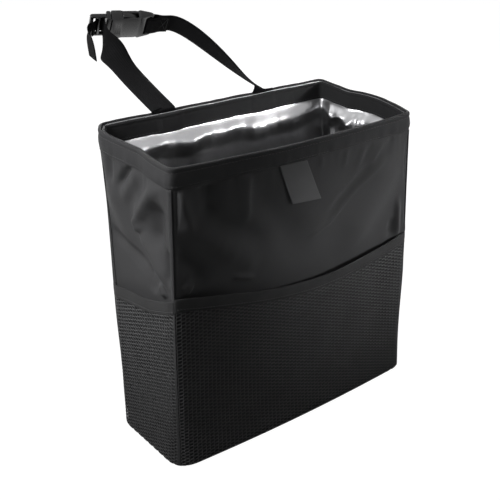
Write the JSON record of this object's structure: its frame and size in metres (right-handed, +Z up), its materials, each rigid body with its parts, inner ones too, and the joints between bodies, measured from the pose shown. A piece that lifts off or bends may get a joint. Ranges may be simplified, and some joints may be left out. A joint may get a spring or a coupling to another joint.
{
  "type": "car trash bin",
  "caption": "Soft box-shaped car trash bin with an open mouth, foil lining, net pockets and a headrest strap with a side-release buckle.",
  "frame": {"origin": "centre of the base on the floor", "axes": "+Z up, the front with the large pocket faces -Y, +X to the right seen from the front"},
  "size_m": [0.275, 0.2247, 0.3589],
  "materials": {
    "coated_cloth": "coated, slight sheen",
    "stiffener": "matte sheet",
    "foil": "metallised film",
    "net": "knitted",
    "tape": "ribbed",
    "patch": "smooth",
    "webbing": "woven",
    "buckle": "fine texture"
  },
  "bodies": {
    "bag": {"front_panel": "coated_cloth", "back_panel": "coated_cloth", "left_gusset": "coated_cloth", "right_gusset": "coated_cloth", "bottom_panel": "coated_cloth", "rim_hem": "coated_cloth", "rim_facing": "coated_cloth", "front_rim_strip": "stiffener", "back_rim_strip": "stiffener", "front_board": "stiffener", "back_board": "stiffener", "base_board": "stiffener", "foil_lining": "foil", "front_pocket_net": "net", "left_pocket_net": "net", "right_pocket_net": "net", "front_pocket_binding": "tape", "left_pocket_binding": "tape", "right_pocket_binding": "tape", "front_left_seam": "tape", "front_right_seam": "tape", "back_left_seam": "tape", "back_right_seam": "tape", "front_patch": "patch", "adjustable_strap": "webbing", "fixed_strap": "webbing", "buckle_socket": "buckle"},
    "plug": {"buckle_plug": "buckle"}
  },
  "joints": [
    {"name": "buckle_release", "type": "slide", "parent": "bag", "child": "plug", "axis": [-0.9327, 0.358, 0.0436], "range_m": [0, 0.028], "deforming": ["buckle_plug", "adjustable_strap"]}
  ]
}
